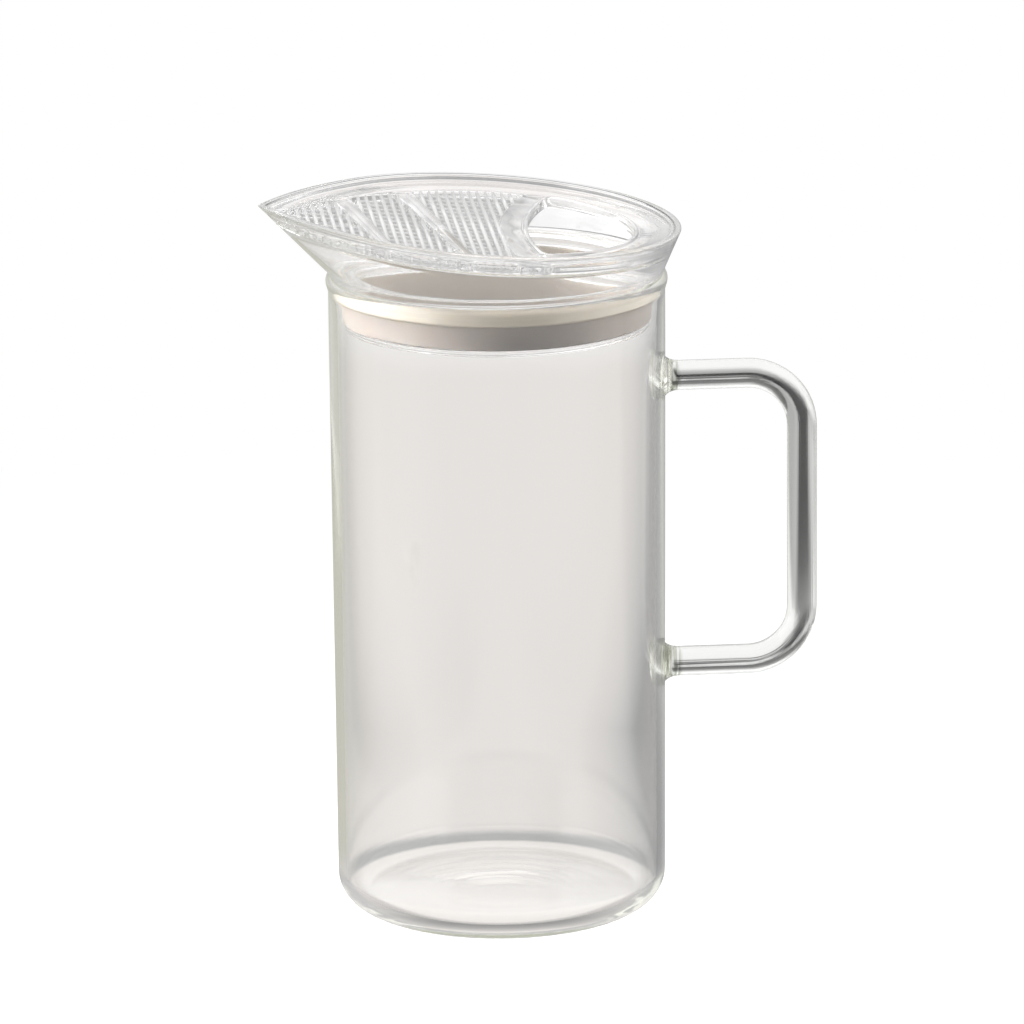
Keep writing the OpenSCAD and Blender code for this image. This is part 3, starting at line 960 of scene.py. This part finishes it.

# What the handle's rod turns upside down, painted on the table: the pale table close behind it,
# then a dark card painted there with a grey field on either side, by place across the view as it
# was seen at the object. Its rays meet two surfaces. Those of the upper bar have a run of painted
# shades of their own, and are told by the square of the height that they come down from. Then
# what the edges of the body's wall show.
card_across = (
    (-0.06, 0.0), (-0.035, 0.5), (-0.02, 0.9), (-0.01, 1.0), (0.105, 1.0), (0.122, 0.2),
    (0.14, 0.0),
)
card_deep = (
    (0.17, 0.0), (0.21, 0.3), (0.25, 0.72), (0.28, 0.88), (0.33, 0.95), (0.6, 1.0), (0.75, 1.0),
    (1.5, 1.0), (1.8, 0.65), (9.0, 0.65),
)
card_sides = ((-0.07, 0.64), (0.0, 0.64), (0.09, 0.50), (0.14, 0.50), (0.22, 0.42))
card_shade, bare_shade, card_from = 0.02, 0.96, (0.17, 0.24)
bar_deep = (
    (0.2, 0.96), (0.237, 0.86), (0.3, 0.53), (0.4, 0.43), (0.5, 0.1), (0.57, 0.04), (0.7, 0.05),
    (0.95, 0.2), (1.15, 0.08), (1.5, 0.08), (1.8, 0.23), (9.0, 0.23),
)
bar_at, bar_square_height = (0.06, 0.0075), (0.0117, 0.0132)
rod_past, rod_behind, rod_passes = (-0.005, -0.003), (0.0, 0.04), 2.5
edge_left, edge_right, edge_turn = (0.56, 0.555, 0.49, 1), (0.34, 0.34, 0.34, 1), (-0.05, 0.05)
any_turn = 0.5


def warm(bright):
    """The colour of a shade of the table, which is warmer where it is bright."""
    share = min(1, max(0, (bright - warm_from) / warm_span))
    return bright, bright * (1 - warm_green * share), bright * (1 - warm_blue * share), 1


def plain(bright):
    """The grey of a shade or a mask."""
    return bright, bright, bright, 1


def shade_ramp(tree, value, stops, colour):
    """Turns a value into colours, by stops of (value, brightness)."""
    low, high = stops[0][0], stops[-1][0]
    node = joined(tree, "ShaderNodeValToRGB", {"Fac": ranged(tree, value, low, high)})
    ends = node.color_ramp.elements
    ends[0].color, ends[1].color = colour(stops[0][1]), colour(stops[-1][1])
    for at, bright in stops[1:-1]:
        ends.new((at - low) / (high - low)).color = colour(bright)
    return node.outputs["Color"]


def eased(tree, value, start, end):
    """A smooth step from 0 at one value to 1 at another."""
    return ranged(tree, value, start, end, interpolation_type="SMOOTHSTEP")


def either(tree, factor, first, second):
    """Mixes two shaders."""
    return joined(tree, "ShaderNodeMixShader", {0: factor, 1: first, 2: second}).outputs[0]


def shining(tree, kind, colour, strength=1.0):
    """A plain light shader of a surface or of the room."""
    return joined(tree, kind, {"Color": colour, "Strength": strength}).outputs[0]


def from_camera(tree, place):
    """Parts of a place across the view, away from the camera and upwards."""
    node = joined(
        tree, "ShaderNodeVectorRotate", {"Vector": place, "Angle": view_turn},
        rotation_type="Z_AXIS",
    )
    return tuple(joined(tree, "ShaderNodeSeparateXYZ", {0: node.outputs[0]}).outputs)


table = bmesh.new()
bmesh.ops.create_circle(
    table, cap_ends=True, segments=table_sides, radius=table_r,
    matrix=Matrix.Translation((0, 0, -table_drop)),
)
mesh = bpy.data.meshes.new("table")
table.to_mesh(mesh)
table.free()
table = bpy.data.objects.new("table", mesh)
bpy.context.scene.collection.objects.link(table)

sight = Vector((
    math.sin(view_turn) * math.cos(view_rise), math.cos(view_turn) * math.cos(view_rise),
    -math.sin(view_rise),
))
level = Vector((math.cos(view_turn), -math.sin(view_turn), 0))
upright = level.cross(sight)
right = level * math.cos(view_roll) - upright * math.sin(view_roll)
up = upright * math.cos(view_roll) + level * math.sin(view_roll)
middle_px = Vector((picture_px / 2, picture_px / 2))
off = (middle_px - target_px) / focal_px
aim = (sight + right * off.x - up * off.y).normalized()
right = (right - aim * right.dot(aim)).normalized()
up = right.cross(aim)

camera = bpy.data.objects.new("camera", bpy.data.cameras.new("camera"))
bpy.context.scene.collection.objects.link(camera)
camera.data.sensor_width = 36.0
camera.data.lens = focal_px / picture_px * camera.data.sensor_width
camera.data.clip_end = 50.0
axes = Matrix((right, up, -aim)).transposed().to_4x4()
camera.matrix_world = Matrix.Translation(view_target - sight * view_far) @ axes
bpy.context.scene.camera = camera

paper, tree = new_material("pale_table")
path = joined(tree, "ShaderNodeLightPath", {}).outputs
place = joined(tree, "ShaderNodeTexCoord", {}).outputs["Object"]
aside, away, _ = from_camera(tree, place)
apart = joined(tree, "ShaderNodeVectorMath", {0: place}, operation="LENGTH").outputs["Value"]
reach = sums(tree, "MULTIPLY", sums(tree, "MAXIMUM", away, side_least), side_slope)
reach = sums(tree, "ADD", reach, side_start)
shade = shade_ramp(tree, sums(tree, "DIVIDE", aside, reach), side_shades, warm)
beyond = sums(tree, "MULTIPLY", eased(tree, away, *lid_from), lid_far)
shade = blend(tree, beyond, shade, plain(lid_shade))
shade = blend(tree, eased(tree, away, *far_from), shade, plain(far_shade))
shade = blend(tree, eased(tree, away, *front_from), shade, plain(front_shade))
shade = blend(tree, eased(tree, apart, *under_edge), warm(under_shade), shade)
wide = sums(tree, "ABSOLUTE", aside, 0.0)
for inner, outer, side, width, dark in foot_shades:
    ring = sums(tree, "MULTIPLY", eased(tree, apart, *inner), eased(tree, apart, *outer))
    ring = sums(tree, "MULTIPLY", ring, eased(tree, away, -side, side))
    ring = sums(tree, "MULTIPLY", ring, eased(tree, wide, width, width / 4))
    shade = blend(tree, ring, shade, plain(dark))

seen_at = sums(tree, "MULTIPLY", aside, view_far)
seen_at = sums(tree, "DIVIDE", seen_at, sums(tree, "ADD", away, view_far))
card = sums(
    tree, "MULTIPLY", shade_ramp(tree, seen_at, card_across, plain),
    shade_ramp(tree, away, card_deep, plain),
)
sides = shade_ramp(tree, seen_at, card_sides, plain)
bare = blend(tree, eased(tree, away, *card_from), plain(bare_shade), sides)
behind_rod = blend(tree, card, bare, plain(card_shade))
height = sums(tree, "MULTIPLY", path["Ray Length"], path["Ray Length"])
for part, start in zip((aside, away), bar_at):
    gone = sums(tree, "SUBTRACT", part, start)
    height = sums(tree, "SUBTRACT", height, sums(tree, "MULTIPLY", gone, gone))
behind_bar = shade_ramp(tree, away, bar_deep, plain)
behind_rod = blend(tree, eased(tree, height, *bar_square_height), behind_rod, behind_bar)
past = sums(tree, "SUBTRACT", path["Ray Length"], away)
straight = blend(tree, eased(tree, past, *rod_past), plain(lid_shade), behind_rod)
edge = blend(tree, eased(tree, aside, *edge_turn), edge_left, edge_right)
bent_once = sums(tree, "GREATER_THAN", path["Glossy Depth"], any_turn)
short = sums(tree, "LESS_THAN", path["Transmission Depth"], rod_passes)
short = sums(tree, "MULTIPLY", short, eased(tree, away, *rod_behind))
shade = blend(tree, short, shade, blend(tree, bent_once, straight, edge))
to_seal = sums(tree, "GREATER_THAN", path["Diffuse Depth"], any_turn)
shade = blend(tree, to_seal, shade, plain(seal_table))

through = sums(tree, "MAXIMUM", path["Is Transmission Ray"], path["Is Glossy Ray"])
matt = joined(tree, "ShaderNodeBsdfDiffuse", {"Color": plain(table_grey)}).outputs[0]
lift = shining(tree, "ShaderNodeEmission", plain(1.0), table_lift)
lit = joined(tree, "ShaderNodeAddShader", {0: matt, 1: lift}).outputs[0]
white = shining(tree, "ShaderNodeEmission", plain(1.0))
seen = either(tree, eased(tree, apart, *white_from), lit, white)
seen = either(tree, path["Is Camera Ray"], matt, seen)
surface = either(tree, through, seen, shining(tree, "ShaderNodeEmission", shade))
joined(tree, "ShaderNodeOutputMaterial", {"Surface": surface})
table.data.materials.append(paper)

world = bpy.data.worlds.new("studio")
world.use_nodes = True
tree = world.node_tree
tree.nodes.clear()
path = joined(tree, "ShaderNodeLightPath", {}).outputs
place = joined(tree, "ShaderNodeTexCoord", {}).outputs["Generated"]
aside, away, upward = from_camera(tree, place)
turn = sums(tree, "ARCTAN2", aside, sums(tree, "MULTIPLY", away, -1.0))
turn = sums(tree, "MULTIPLY", turn, math.degrees(1))
to_seal = sums(tree, "GREATER_THAN", path["Diffuse Depth"], any_turn)
led = sums(tree, "GREATER_THAN", path["Glossy Depth"], led_turns)
low_part = shade_ramp(tree, turn, low_shades, plain)
high_part = shade_ramp(tree, turn, high_shades, plain)
shade = blend(tree, eased(tree, upward, *high_from), low_part, high_part)
shade = blend(tree, led, shade, plain(led_sky))
shade = blend(tree, to_seal, shade, shade_ramp(tree, turn, seal_shades, plain))
above = blend(tree, to_seal, plain(ceiling_shade), plain(seal_top))
shade = blend(tree, eased(tree, upward, *ceiling_from), shade, above)
straight = sums(
    tree, "MULTIPLY", sums(tree, "LESS_THAN", path["Transmission Depth"], rod_passes),
    sums(tree, "LESS_THAN", path["Glossy Depth"], any_turn),
)
rise = blend(
    tree, straight, shade_ramp(tree, upward, horizon_rise, plain),
    shade_ramp(tree, upward, rod_rise, plain),
)
dim = blend(tree, eased(tree, away, *ahead_from), plain(1.0), rise)
shade = scaled(tree, shade, dim)
through = sums(tree, "MAXIMUM", path["Is Transmission Ray"], path["Is Glossy Ray"])
soft = shining(tree, "ShaderNodeBackground", plain(room_grey))
white = shining(tree, "ShaderNodeBackground", plain(1.0))
direct = either(tree, path["Is Camera Ray"], soft, white)
mixed = either(tree, through, direct, shining(tree, "ShaderNodeBackground", shade))
joined(tree, "ShaderNodeOutputWorld", {"Surface": mixed})
bpy.context.scene.world = world


def softbox(name, place, width, tall, watts):
    """A large soft lamp that faces the object and isn't mirrored in it."""
    lamp = bpy.data.lights.new(name, "AREA")
    lamp.shape, lamp.size, lamp.size_y, lamp.energy = "RECTANGLE", width, tall, watts
    box = bpy.data.objects.new(name, lamp)
    box.location = place
    box.rotation_euler = (view_target - Vector(place)).to_track_quat("-Z", "Y").to_euler()
    box.visible_camera = box.visible_glossy = box.visible_transmission = False
    bpy.context.scene.collection.objects.link(box)


softbox("softbox_left", place=(-0.9, -0.35, 0.55), width=0.6, tall=1.0, watts=9.0)
softbox("softbox_right", place=(1.0, -0.5, 0.5), width=0.4, tall=0.9, watts=3.0)
softbox("softbox_top", place=(-0.1, 0.1, 1.2), width=1.0, tall=1.0, watts=6.0)
bpy.context.scene.view_settings.view_transform = "Standard"
bpy.context.scene.cycles.max_bounces = 24
bpy.context.scene.cycles.transmission_bounces = 24
bpy.context.scene.cycles.glossy_bounces = 16
bpy.context.scene.cycles.blur_glossy = 0.0
